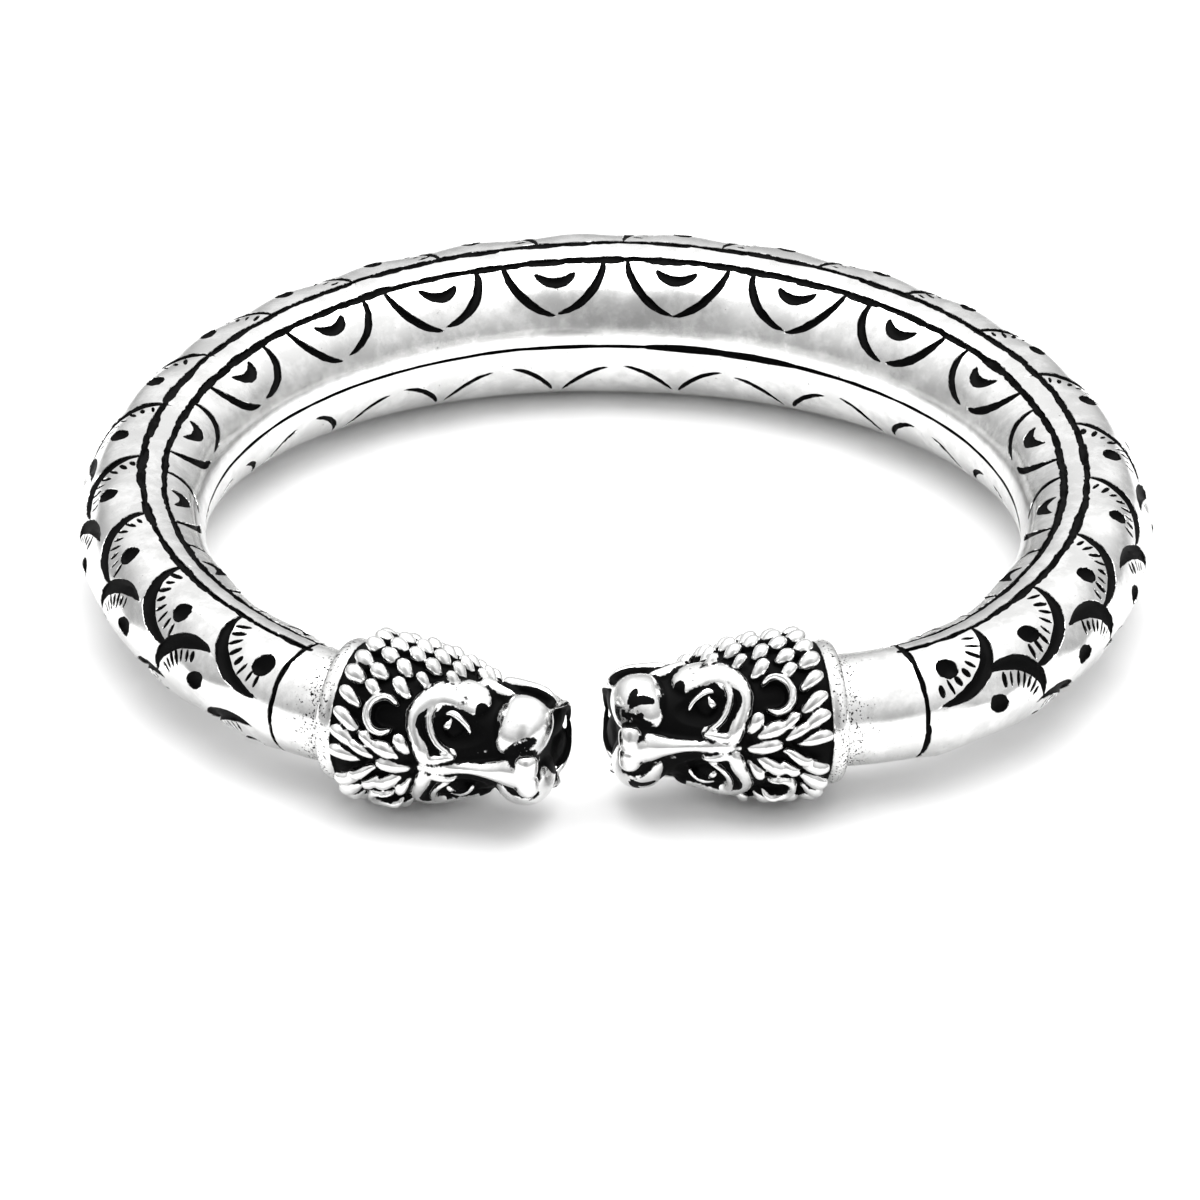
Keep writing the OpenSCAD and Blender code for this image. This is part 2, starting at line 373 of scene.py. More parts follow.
# %% Close the two ends
for end_s in (low_s, high_s):
    flat = points_of(tube)
    select_only(tube)
    bpy.ops.object.mode_set(mode="EDIT")
    bpy.ops.mesh.select_all(action="DESELECT")
    bpy.ops.object.mode_set(mode="OBJECT")
    at_end = np.abs(flat[:, 0] - end_s) < 0.01
    for edge in tube.data.edges:
        edge.select = bool(at_end[edge.vertices[0]] and at_end[edge.vertices[1]])
    bpy.ops.object.mode_set(mode="EDIT")
    bpy.ops.mesh.select_mode(type="EDGE")
    bpy.ops.mesh.bridge_edge_loops()
    bpy.ops.mesh.select_mode(type="VERT")
    bpy.ops.object.mode_set(mode="OBJECT")
faces_outward(tube)
print("tube faces before the marks:", len(tube.data.polygons))

# %% [markdown]
# ## The punches
# A chasing mark is what the end of a steel punch leaves. Each kind of punch is modelled once, as a
# spindle: a UV sphere with its poles at the ends of the mark, flattened and bent to its arc. Every
# strike is a copy of it, laid on the tube by its length, its angle and its turn.

# %% Make the punches
random.seed(8)


def spindle(name, length, width, depth, bend=0, around=10, along=12, blunt=0.75):
    """A mark lying along X, bent in the plane of the surface by the given degrees."""
    bpy.ops.mesh.primitive_uv_sphere_add(segments=around, ring_count=along, radius=1,
                                         rotation=(0, math.pi / 2, 0))
    thing = named(name)
    points = points_of(thing)
    t = np.clip(points[:, 0], -1, 1)
    full = np.sqrt(np.maximum(1e-9, 1 - t * t))
    thick = np.where(full > 1e-3, full ** (2 * blunt) / full, 0)
    u = t * length / 2
    v = points[:, 1] * thick * width / 2
    w = points[:, 2] * thick * depth
    if bend:
        arc_r = length / math.radians(bend)
        turn_a = u / arc_r
        v_out = arc_r + v
        u = v_out * np.sin(turn_a)
        v = v_out * np.cos(turn_a) - arc_r * math.cos(math.radians(bend) / 4)
    set_points(thing, np.stack([u, v, w], 1))
    return thing


def turned(u, v, degrees):
    t = math.radians(degrees)
    return u * math.cos(t) - v * math.sin(t), u * math.sin(t) + v * math.cos(t)


class Strikes:
    """A set of marks that don't overlap, cut into the tube together."""

    def __init__(self, name):
        self.name = name
        self.copies = []

    def strike(self, punch, s, angle, turn=0, size=(1, 1, 1), rough=0.03):
        """Lays a roughened copy of a punch on the skin, at length s and an angle round the tube."""
        points = points_of(punch) * np.array(size)
        jitter = np.array([[random.uniform(-rough, rough) for _ in range(3)] for _ in points])
        points = points + jitter
        u, v = turned(points[:, 0], points[:, 1], turn)
        base_r = radius_at(s)
        curve = path_at([s])[2][0]
        # Bending shortens the inside and lengthens the outside, so the mark is made the opposite first
        stretch = max(0.35, 1 - base_r * math.sin(math.radians(angle)) * curve)
        here_s = s + u / stretch
        here_a = angle + np.degrees(v / base_r)
        radius = skin_radius(here_s, here_a) + points[:, 2]
        copy = copy_of(punch)
        set_points(copy, from_polar(here_s, here_a, radius))
        if size[0] * size[1] * size[2] < 0:
            copy.data.flip_normals()
        self.copies.append(copy)

    def cut_into(self, thing):
        before = len(thing.data.polygons)
        cut(thing, join(self.name, self.copies))
        print(self.name, "marks:", len(self.copies), "faces added:", len(thing.data.polygons) - before)


# Length, width and depth of each mark, then its bend in degrees
petal_punch = spindle("petal_punch", 7.5, 0.86, 0.42, bend=86, along=20, blunt=0.6)
smile_punch = spindle("smile_punch", 4.3, 1.05, 0.4, bend=125, along=18, blunt=0.5)
crescent_punch = spindle("crescent_punch", 10, 1.3, 0.48, bend=88, along=22, blunt=0.8)
arch_punch = spindle("arch_punch", 8.9, 1.35, 0.46, bend=95, along=20, blunt=0.75)
dash_punch = spindle("dash_punch", 1.12, 0.4, 0.27, along=6, around=8, blunt=0.5)
pit_punch = spindle("pit_punch", 1.9, 1.5, 0.5, along=10, around=12, blunt=0.5)
line_punch = spindle("line_punch", 3.9, 0.74, 0.36, along=12, around=8, blunt=0.3)
seam_punch = spindle("seam_punch", 9.0, 0.34, 0.42, along=12, around=8, blunt=0.45)

# %% [markdown]
# ## Strike the pattern
# The two border lines on top are rows of overlapping chisel strokes. Strokes that overlap are put
# in different sets, because a cutter must not pass through itself.

# %% Strike the lines, the seam and the borders
left_border = left_end["length"] - left_end["sleeve"]
right_border = right_end["length"] - right_end["sleeve"]
line_strokes, line_margin, thinnest_at = 66, 1.2, 98
line_run = left_border + right_border - 2 * line_margin
seam_strokes, seam_margin = 29, 3
seam_run = left_end["length"] + right_end["length"] - 2 * seam_margin
# Where the seam gapes, half the length of that place, and how much wider the seam is there
gape_s, gape_half, gape = 9, 6, 1.4


def wobble(amount):
    return random.uniform(-amount, amount)


for part in (0, 1):
    lines = Strikes(f"line_strokes_{part}")
    for angle in line_angles:
        for i in range(part, line_strokes, 2):
            s = -left_border + line_margin + line_run * i / (line_strokes - 1)
            thin = 0.75 + 0.45 * (1 - abs(s) / thinnest_at)
            lines.strike(line_punch, s, angle + wobble(0.6), turn=wobble(2.2),
                         size=(1.0 + wobble(0.08), thin * (1 + wobble(0.3)), 1), rough=0.065)
    lines.cut_into(tube)

for part in (0, 1):
    seam = Strikes(f"seam_strokes_{part}")
    for i in range(part, seam_strokes, 2):
        s = -left_end["length"] + seam_margin + seam_run * i / (seam_strokes - 1)
        wide = 1 + gape * math.exp(-((s - gape_s) / gape_half) ** 2)
        seam.strike(seam_punch, s, seam_angle + wobble(0.3), turn=wobble(0.3),
                    size=(1, wide * (1 + wobble(0.15)), 1), rough=0.02)
    seam.cut_into(tube)

# %% Strike the petals
# Distance from the petal's middle, angle on the tube and turn of its strokes above and below the seam
upper_s, upper_angle, upper_turn = 3.26, 49, 52
lower_s, lower_angle, lower_turn = 2.4, 120, 43
smile_angle = 39.5
petal_margin = 3
petals = Strikes("petal_strokes")
first_petal = math.ceil((-left_border + petal_margin - petal_phase) / petal_pitch)
last_petal = math.floor((right_border - petal_margin - petal_phase) / petal_pitch)
for k in range(first_petal, last_petal + 1):
    middle = petal_phase + petal_pitch * k
    shrink = radius_at(middle) / back_r
    for side in (-1, 1):
        petals.strike(petal_punch, middle + side * upper_s + wobble(0.12), upper_angle + wobble(1),
                      turn=side * -upper_turn + wobble(2),
                      size=(shrink, (1 + wobble(0.12)) * shrink ** 0.5, 1), rough=0.04)
        petals.strike(petal_punch, middle + side * lower_s + wobble(0.3), lower_angle + wobble(2),
                      turn=side * -lower_turn + wobble(3), size=(0.82 * shrink, -0.6, 0.8))
    petals.strike(smile_punch, middle + wobble(0.2), smile_angle + wobble(1), turn=wobble(5),
                  size=(shrink, 1, 1), rough=0.035)
petals.cut_into(tube)

# %% The kinds of scale
# A scale's crescent lies behind and below its pit, on an arc of radius arc_r over bow degrees.
# Short strokes stand inside it, spread degrees apart, this many on each side of the middle one
top_scale = {"punch": crescent_punch, "turn": 137, "behind": 3.1, "below": -8, "arc_r": 6.5, "bow": 88,
             "strokes": 4, "spread": 9.5}
outer_scale = {"punch": arch_punch, "turn": 34, "behind": 2.6, "below": 20, "arc_r": 5.3, "bow": 95,
               "strokes": 3, "spread": 9.0}
top_pit_angle, pit_sinks, sinks_below_r = -22, 12, 5.3
# The top scale next to the right sleeve, and how far the next one is from it
near_right, near_right_pitch = 7.2, 7.1
pit_from_sleeve, dash_from_sleeve, dash_from_line = 0.9, 0.7, 3
dash_gap = 1.12
between_runs = 10.5


def top_behind(side, distance):
    """The crescents of the top row lie closer to their pits on the right."""
    if side < 0:
        return top_scale["behind"]
    return 2.2 if distance < 8 else 2.7


def strike_scale(marks, pits, dashes, end, row, distance):
    """A pit, a crescent behind it and short strokes between them, as the photograph has them."""
    side, length = end["side"], end["length"]
    kind = outer_scale if row else top_scale
    turn, strokes = kind["turn"], kind["strokes"]
    pit_s = length - distance
    base_r = radius_at(pit_s)
    pit_a = scale_rows[row][0] if row else top_pit_angle - pit_sinks * max(0, sinks_below_r - base_r)
    size = 0.9 + 0.1 * (base_r - 4) / 3
    arc_r = kind["arc_r"] * size
    if distance > end["sleeve"] + pit_from_sleeve:
        pits.strike(pit_punch, side * pit_s, pit_a + wobble(2), turn=side * (25 + wobble(15)),
                    size=(1 + wobble(0.12), 1 + wobble(0.12), 1), rough=0.05)
    middle_s = pit_s - (kind["behind"] if row else top_behind(side, distance))
    middle_a = pit_a + kind["below"]
    marks.strike(kind["punch"], side * middle_s, middle_a + wobble(1), turn=side * (turn + wobble(3)),
                 size=(size, 1 + wobble(0.1), 1), rough=0.05)
    # The short strokes point at the middle of the crescent's arc
    sag = arc_r * math.cos(math.radians(kind["bow"]) / 4)
    for j in range(-strokes, strokes + 1):
        theta = math.radians(j * kind["spread"])
        u_flat = (arc_r - dash_gap) * math.sin(theta)
        v_flat = (arc_r - dash_gap) * math.cos(theta) - sag
        u, v = turned(u_flat, v_flat, turn)
        stretch = max(0.4, 1 - base_r * math.sin(math.radians(middle_a)) / ring_r)
        dash_s = middle_s + u / stretch
        dash_a = middle_a + math.degrees(v / base_r)
        on_sleeve = length - dash_s < end["sleeve"] + dash_from_sleeve
        on_line = row == 0 and dash_a > -dash_from_line
        if on_sleeve or on_line:
            continue
        dashes.strike(dash_punch, side * dash_s + wobble(0.07), dash_a + wobble(0.6),
                      turn=side * (turn + 90 - math.degrees(theta)) + wobble(6),
                      size=(1 + wobble(0.25), 1 + wobble(0.3), 1), rough=0.02)


# %% Strike the scales
for row in range(3):
    marks = Strikes(f"scale_arcs_{row}")
    pits = Strikes(f"scale_pits_{row}")
    dashes = Strikes(f"scale_dashes_{row}")
    past_back = 3
    for end in (right_end, left_end):
        distance = scale_rows[row][1 if end["side"] < 0 else 2]
        while distance - scale_pitch > end["sleeve"] + 1:
            distance -= scale_pitch
        if row == 0 and end["side"] > 0:
            distance = near_right
        while end["length"] - distance > past_back:
            last = end["length"] - distance
            strike_scale(marks, pits, dashes, end, row, distance)
            distance += near_right_pitch if distance == near_right else scale_pitch
        # The rows of the left end run on past the back, up to the last scale of the right end
        past_back = between_runs - last
    for group in (marks, pits, dashes):
        group.cut_into(tube)

# %% Strike the border lines round the sleeves
border_strokes = 10
for part in (0, 1):
    rings = Strikes(f"border_strokes_{part}")
    for end in (left_end, right_end):
        border_s = end["side"] * (end["length"] - end["sleeve"])
        for i in range(part, border_strokes, 2):
            rings.strike(line_punch, border_s + wobble(0.05), i * 360 / border_strokes,
                         turn=90 + wobble(1.5), size=(0.85, 0.6 * (1 + wobble(0.3)), 0.9), rough=0.03)
    rings.cut_into(tube)

# %% [markdown]
# ## Bend the tube
# First each point notes how deep it lies under the uncut skin, for the black of the oxide. Then
# the straight tube is laid along the path. A Curve modifier would bend it too, but working from
# the path itself keeps it on the path of the solid.


# %% Bend the tube and set it on the surface
def note(thing, name, values):
    """Keeps one number for each point, for the materials to read."""
    if name in thing.data.attributes:
        thing.data.attributes.remove(thing.data.attributes[name])
    layer = thing.data.attributes.new(name, "FLOAT", "POINT")
    layer.data.foreach_set("value", np.asarray(values, np.float32))


def bend_points(points):
    s, angle, radius = polar(points)
    place, outward, _ = path_at(s)
    a = np.radians(angle)
    bent = np.zeros_like(points)
    bent[:, :2] = place - (radius * np.sin(a))[:, None] * outward
    bent[:, 2] = radius * np.cos(a)
    return bent


straight = points_of(tube)
s, angle, radius = polar(straight)
note(tube, "depth", skin_radius(s, angle) - radius)
specks_end, specks_fade = 2.4, 2.0
note(tube, "specks", np.clip((specks_end - from_rim(s)) / specks_fade, 0, 1))
set_points(tube, bend_points(straight))
# The inside of the straight tube is +Y and that of the ring's back is -Y. So bending mirrors the
# tube, and its faces are turned round
tube.data.flip_normals()
print("volume of the tube in mm3, positive when its faces point outwards:", round(signed_volume(tube)))
tube.data.transform(to_metres @ at_rest)
select_only(tube)
bpy.ops.object.shade_smooth_by_angle(angle=math.radians(38))
print("tube faces:", len(tube.data.polygons))
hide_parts("chased_tube")
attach(tube, "root")

for punch in (petal_punch, smile_punch, crescent_punch, arch_punch, dash_punch, pit_punch, line_punch,
              seam_punch):
    bpy.data.objects.remove(punch)

# %% [markdown]
# ## The lion head
# Such a head is carved in wax and cast. Here it is built along X from the middle of its rim, with
# the crown on Z and the upper cheek on Y. A place on it is its distance along X, its angle from
# the crown line and its distance from the axis. Every lock, brow and lip is a sphere drawn out
# along a line of such places; all of them are fused by a voxel remesh, as wax is.


# %% Helpers for the head
def round_axis(place):
    x, a, r = np.asarray(place, float).T
    return np.stack([x, r * np.sin(np.radians(a)), r * np.cos(np.radians(a))], 1)


def smooth_table(table, t):
    """Values of a table's rows at t from 0 to 1, on a curve through the rows."""
    table = np.asarray(table, float)
    last = len(table) - 1
    f = np.clip(t, 0, 1) * last
    i = np.minimum(f.astype(int), last - 1)
    u = (f - i)[:, None]
    p0 = table[np.maximum(i - 1, 0)]
    p1, p2 = table[i], table[i + 1]
    p3 = table[np.minimum(i + 2, last)]
    return p1 + 0.5 * u * (p2 - p0 + u * (2 * p0 - 5 * p1 + 4 * p2 - p3 + u * (3 * (p1 - p2) + p3 - p0)))


def drawn_out(name, table, around=12, along=14, blunt=0.3):
    """A rounded form through rows of [along X, angle, from the axis, half width, half height]."""
    bpy.ops.object.select_all(action="DESELECT")
    bpy.ops.mesh.primitive_uv_sphere_add(segments=around, ring_count=along, radius=1,
                                         rotation=(0, math.pi / 2, 0))
    thing = named(name)
    points = points_of(thing)
    t = np.arccos(np.clip(-points[:, 0], -1, 1)) / math.pi
    ring = points[:, 1:] / np.maximum(1e-6, np.hypot(points[:, 1], points[:, 2]))[:, None]
    rows = smooth_table(table, t)
    middle = round_axis(rows[:, :3])
    ahead = round_axis(smooth_table(table, t + 0.01)[:, :3])
    ahead -= round_axis(smooth_table(table, t - 0.01)[:, :3])
    ahead /= np.maximum(1e-9, np.linalg.norm(ahead, axis=1))[:, None]
    a = np.radians(rows[:, 1])
    out = np.stack([0 * a, np.sin(a), np.cos(a)], 1)
    beside = np.cross(ahead, out)
    beside /= np.maximum(1e-9, np.linalg.norm(beside, axis=1))[:, None]
    out = np.cross(beside, ahead)
    near_end = np.clip((np.abs(2 * t - 1) - 1 + blunt) / blunt, 0, 1)
    cap = np.sqrt(np.maximum(0, 1 - near_end ** 2))
    set_points(thing, middle + beside * (ring[:, :1] * rows[:, 3:4] * cap[:, None])
               + out * (ring[:, 1:] * rows[:, 4:5] * cap[:, None]))
    return thing


def both_cheeks(name, table, **settings):
    """The same form on both sides of the crown line."""
    mirrored = [[row[0], -row[1], *row[2:]] for row in table]
    made = [drawn_out(name, table, **settings), drawn_out(name, mirrored, **settings)]
    for thing in made:
        faces_outward(thing)
    return made


def fused(name, things, voxel):
    """Melts the things into one skin."""
    thing = join(name, things)
    modify(thing, "REMESH", mode="VOXEL", voxel_size=voxel, use_smooth_shade=True)
    return thing


# %% The skull, the brow and the muzzle
skull = [drawn_out("skull", [
    [-0.3, 0, 0, 4.7, 4.7], [1.5, 0, 0, 4.9, 4.9], [4.5, 0, 0, 5.2, 5.2], [7, 0, 0, 4.9, 4.9],
    [9, 0, 0, 4.45, 4.45], [10.8, 0, 0, 3.8, 3.8], [12.5, 0, 0, 3.35, 3.35], [14, 0, 0, 3.2, 3.2],
    [14.9, 0, 0, 3.15, 3.15], [15.3, 0, 0, 3.0, 3.0]], around=48, along=60, blunt=0.03)]
skull += both_cheeks("brow_mass", [
    [11.7, 73, 3.5, 0.9, 0.5], [10.7, 73, 3.8, 1.45, 0.6], [9.3, 72, 4.25, 1.35, 0.65],
    [8.0, 62, 4.6, 1.0, 0.75], [7.15, 46, 4.75, 0.75, 0.75], [7.15, 32, 4.75, 0.62, 0.72],
    [7.7, 17, 4.75, 0.62, 0.7], [8.2, 2, 4.7, 0.72, 0.7]], along=30, around=16)
skull += both_cheeks("lower_brow", [[8.0, 6, 4.7, 0.5, 0.5], [9.2, 10, 4.6, 0.32, 0.45],
                                    [10.2, 12, 4.25, 0.18, 0.35]], blunt=0.6)
skull += [drawn_out("nose_bridge", [
    [7.2, 0, 4.6, 0.9, 0.7], [8.6, 0, 4.5, 0.8, 0.6], [10, 0, 4.15, 0.5, 0.55], [11.2, 0, 3.9, 0.45, 0.55],
    [12.6, 0, 3.75, 0.7, 0.65], [13.8, 0, 3.62, 1.1, 0.8], [14.9, 0, 3.55, 1.2, 0.9],
    [15.6, 0, 3.35, 0.9, 0.8]], along=30, around=16)]
skull += both_cheeks("nose_wing", [[15.0, 0, 3.6, 0.85, 0.85], [15.1, 12, 3.65, 0.82, 0.84],
                                   [15.0, 24, 3.6, 0.82, 0.82]], blunt=0.6, around=16)
skull += both_cheeks("whisker_pad", [
    [11.6, 62, 2.9, 1.2, 1.0], [12.5, 62, 2.5, 2.15, 1.8], [13.8, 62, 2.2, 2.5, 2.15],
    [15.0, 61, 2.1, 2.4, 2.05], [15.9, 58, 2.0, 1.8, 1.6]], along=30, around=28, blunt=0.8)
skull += both_cheeks("cheek_bone", [[10.2, 100, 3.9, 0.9, 0.7], [11.6, 98, 3.6, 0.8, 0.7],
                                    [13.0, 96, 3.3, 0.7, 0.7]])
skull += [drawn_out("under_chin", [
    [10.2, 180, 3.2, 1.9, 1.0], [12.2, 180, 2.7, 2.1, 1.35], [14.0, 180, 2.45, 2.1, 1.5],
    [15.3, 180, 2.2, 1.6, 1.4]], along=30, around=24, blunt=0.7)]
skull += both_cheeks("chin", [
    [10.8, 158, 2.4, 1.8, 1.5], [12.8, 152, 2.3, 1.85, 1.6], [14.5, 148, 2.3, 1.75, 1.65],
    [15.7, 147, 2.2, 1.5, 1.5]], along=30, around=24, blunt=0.5)
skull_voxel = 0.14
head = fused("lion_head", skull, skull_voxel)
print("skull faces:", len(head.data.polygons))

# %% Carve the eye hollows, the mouth and the nostrils
eye_hollow = [
    [8.0, 38, 5.1, 0.7, 0.75], [8.9, 36, 4.9, 1.3, 1.05], [9.9, 34, 4.8, 1.5, 1.25],
    [11.0, 35, 4.5, 1.5, 1.15], [11.7, 40, 4.2, 1.1, 0.9], [12.1, 46, 4.0, 0.7, 0.6]]
under_nose = [
    [11.9, 15, 4.0, 0.22, 0.45], [12.9, 19, 4.05, 0.2, 0.4], [13.9, 26, 4.15, 0.17, 0.38],
    [14.9, 35, 4.1, 0.2, 0.5], [16.0, 38, 3.6, 0.25, 0.6]]
lip_groove = [
    [16.2, 92, 3.7, 0.4, 0.5], [15.3, 95, 3.9, 0.36, 0.5], [14.2, 98, 4.0, 0.34, 0.5],
    [13.0, 100, 4.0, 0.3, 0.45], [11.8, 101, 4.2, 0.25, 0.35]]
cut(head, join("eye_hollows", both_cheeks("eye_hollow", eye_hollow, along=24, around=20, blunt=0.5)))
cut(head, join("under_nose", both_cheeks("under_nose", under_nose, along=20, blunt=0.5)))
cut(head, join("lip_grooves", both_cheeks("lip_groove", lip_groove, along=40, blunt=0.3)))
mouth = [[13.9, 180, 1.2, 1.5, 1.4], [14.9, 180, 1.2, 2.1, 1.9], [15.6, 180, 1.2, 2.4, 2.2],
         [17.0, 180, 1.2, 2.5, 2.3]]
cut(head, drawn_out("mouth", mouth, around=32, along=20, blunt=0.25))
cheek_hollow = [[11.3, 62, 4.0, 0.5, 0.5], [11.7, 52, 4.0, 0.55, 0.55], [11.9, 40, 3.9, 0.55, 0.55]]
ear_middle = [5.0, 38, 5.15]
ear_hole = [[*ear_middle[:2], 4.3, 0.5, 0.5], [*ear_middle[:2], 5.0, 0.62, 0.62],
            [*ear_middle[:2], 6.0, 0.62, 0.62]]

# %% Lips, eyes, lids and ears
details = []
details += both_cheeks("lip", [
    [14.9, 92, 3.0, 0.2, 0.26], [15.45, 108, 3.0, 0.18, 0.25], [15.75, 122, 3.1, 0.17, 0.26],
    [15.85, 143, 3.35, 0.17, 0.26], [15.7, 161, 3.55, 0.18, 0.26], [15.5, 183, 3.6, 0.2, 0.28]],
    along=50)
details += both_cheeks("jaw", [
    [11.4, 118, 3.9, 0.6, 0.5], [13.0, 114, 3.9, 0.55, 0.55], [14.8, 108, 3.75, 0.5, 0.55],
    [15.8, 101, 3.1, 0.35, 0.4]], along=24)
inner_lid = [
    [9.8, 14, 4.35, 0.18, 0.35], [8.9, 22, 4.6, 0.22, 0.4], [8.3, 32, 4.7, 0.26, 0.4],
    [8.05, 44, 4.8, 0.25, 0.4], [8.35, 54, 4.8, 0.16, 0.3]]
upper_lid = [
    [8.75, 47, 4.1, 0.12, 0.22], [9.3, 51, 4.25, 0.2, 0.28], [10.0, 48, 4.2, 0.22, 0.28],
    [10.6, 42, 3.9, 0.19, 0.25], [10.9, 35, 3.7, 0.12, 0.2]]
details += both_cheeks("inner_lid", inner_lid, along=30)
details += both_cheeks("upper_lid", upper_lid, along=24)
eye_ball = [[8.7, 38, 3.55, 0.5, 0.5], [9.5, 40, 3.6, 0.8, 0.6], [10.3, 40, 3.5, 0.5, 0.45]]
details += both_cheeks("eye_ball", eye_ball, around=16, blunt=0.9)
pupil = [[8.95, 36, 4.15, 0.14, 0.15], [9.2, 40, 4.25, 0.24, 0.2], [9.35, 45, 4.2, 0.1, 0.15]]
details += both_cheeks("pupil", pupil, blunt=0.9)


# The ear is an open ring from this angle on, in steps, and thickest in the middle
ear_from, ear_step, ear_steps = 40, 34, 8
ear_size, ear_height, cheek_r = 1.15, 1.15, 5.3


def ear_row(i):
    t = math.radians(ear_from + i * ear_step)
    x, a, r = ear_middle
    thick = 0.26 + 0.15 * math.sin(math.pi * i / ear_steps)
    return [x + ear_size * math.cos(t), a + math.degrees(ear_size * math.sin(t) / cheek_r), r, thick,
            ear_height]


details += both_cheeks("ear", [ear_row(i) for i in range(ear_steps + 1)], along=48)
details += both_cheeks("fang", [[15.2, 84, 2.9, 0.35, 0.35], [15.6, 96, 3.3, 0.3, 0.3],
                                [15.8, 108, 3.6, 0.16, 0.16]], blunt=0.6)

# %% [markdown]
# ## The mane
# The locks lie in rows like roof tiles. Each is thick and rounded at its tip, which points back to
# the rim, and thin where it grows from the face. Those by the crown are long and a little wavy;
# those on the cheek are short curls.

# %% The locks of the mane
random.seed(21)


def mane_top(x):
    return mane_r - 0.035 * np.maximum(0, x - 4) ** 2


# [place from tip to root, width and height against the half width, how deep it sinks in mm]
lock_profile = ((0, 0.75, 0.8, 0.2), (0.25, 1.05, 1.0, 0), (0.5, 1.0, 0.95, 0.06),
                (0.75, 0.75, 0.8, 0.36), (1, 0.4, 0.55, 0.8))


def lock(tip, root, half_w, curl=0):
    """One lock from its thick tip to its root under the next row, each as [along X, angle]."""
    rows = []
    for t, w, h, sink in lock_profile:
        x = tip[0] + (root[0] - tip[0]) * t
        a = tip[1] + (root[1] - tip[1]) * t + curl * math.sin(2 * math.pi * t)
        rows.append([x, a, mane_top(x) - half_w * 0.95 - sink - 0.05, 0.97 * half_w * w, half_w * 0.95 * h])
    return drawn_out("lock", rows, around=12, along=14, blunt=0.5)


# [tip x, tip angle, root x, root angle, half width] of one cheek, about ring by ring from the rim
locks = [
    [1.2, 4, 4.2, 4, 0.52], [1.3, 20, 4.2, 11, 0.52], [1.3, 36, 3.9, 24, 0.52], [1.4, 50, 3.3, 41, 0.5],
    [1.6, 64, 3.2, 60, 0.6], [1.8, 79, 3.4, 76, 0.66], [1.8, 94, 3.4, 92, 0.68],
    [1.8, 109, 3.4, 107, 0.68], [1.8, 124, 3.4, 122, 0.68], [1.8, 140, 3.4, 138, 0.68],
    [1.8, 157, 3.4, 156, 0.68], [1.8, 174, 3.4, 174, 0.68], [4.6, 1, 7.4, 1, 0.58],
    [4.2, 17, 7.0, 9, 0.55], [3.3, 57, 4.7, 53, 0.5], [6.0, 25, 7.0, 12, 0.42],
    [5.0, 62, 6.4, 55, 0.52], [3.4, 22, 5.2, 14, 0.4], [2.6, 12, 5.0, 6, 0.4], [3.3, 71, 4.7, 68, 0.58],
    [3.4, 86, 4.9, 83, 0.64], [3.5, 101, 4.9, 99, 0.64], [3.5, 116, 4.9, 114, 0.64],
    [3.5, 132, 4.9, 130, 0.64], [3.5, 149, 4.9, 148, 0.64], [3.5, 166, 4.9, 165, 0.64],
    [5.0, 77, 6.2, 72, 0.56], [6.5, 72, 7.6, 68, 0.42], [5.1, 93, 6.4, 90, 0.6],
    [5.2, 109, 6.5, 106, 0.6], [5.2, 124, 6.5, 122, 0.6], [5.2, 140, 6.5, 139, 0.6],
    [5.2, 157, 6.5, 156, 0.6], [5.2, 175, 6.5, 175, 0.6], [6.7, 86, 7.9, 82, 0.54],
    [8.2, 82, 9.2, 79, 0.42], [6.8, 101, 8.0, 98, 0.56], [6.8, 116, 8.1, 113, 0.56],
    [6.8, 132, 8.1, 130, 0.56], [6.8, 149, 8.1, 148, 0.56], [6.8, 166, 8.1, 166, 0.56],
    [8.2, 95, 9.3, 92, 0.48], [8.3, 109, 9.6, 107, 0.5], [8.4, 124, 9.7, 123, 0.5],
    [8.4, 141, 9.7, 140, 0.5], [8.4, 158, 9.7, 158, 0.5], [8.4, 175, 9.7, 175, 0.5],
    [9.8, 104, 10.9, 102, 0.42], [9.8, 120, 11.0, 119, 0.44], [9.8, 136, 11.0, 136, 0.44],
    [9.8, 153, 11.0, 153, 0.44], [9.8, 170, 11.0, 170, 0.44]]
mane = []
for tip_x, tip_a, root_x, root_a, half_w in locks:
    for cheek in (1, -1):
        if cheek < 0 and tip_a < 6:
            continue
        dx, da = random.uniform(-0.12, 0.12), random.uniform(-1.5, 1.5)
        curl = random.uniform(1.0, 2.6) * cheek * (1 if tip_a < 60 else 0.6)
        mane.append(lock((tip_x + dx, cheek * tip_a + da), (root_x + dx, cheek * root_a + da),
                         half_w * random.uniform(0.92, 1.08), curl))
print("locks:", len(mane))

# %% The rim, and everything fused
head_voxel = 0.118
rim_half = 0.5
bpy.ops.object.select_all(action="DESELECT")
bpy.ops.mesh.primitive_torus_add(major_segments=72, minor_segments=16, major_radius=rim_r - rim_half,
                                 minor_radius=rim_half, rotation=(0, math.pi / 2, 0), location=(0.3, 0, 0))
rim = named("rim")
set_points(rim, points_of(rim) * (1.45, 1, 1) + (0.05, 0, 0))
head = fused("lion_head", [head, *details, *mane, rim], head_voxel)
bpy.ops.object.select_all(action="DESELECT")
bpy.ops.mesh.primitive_cylinder_add(vertices=64, radius=end_r + socket_gap, depth=socket_depth + 2,
                                    rotation=(0, math.pi / 2, 0), location=(socket_depth / 2 - 1, 0, 0))
cut(head, named("socket"))
modify(head, "SMOOTH", factor=0.5, iterations=2)
cleaned(head)
print("head faces:", len(head.data.polygons))


# %% [markdown]
# ## Where the black stays
# Oxide covers the whole casting at first, and polishing takes it off all that stands proud. So we
# smooth a copy of the points, which fills the hollows: a point that lies below its smoothed place is
# in a hollow and stays black.


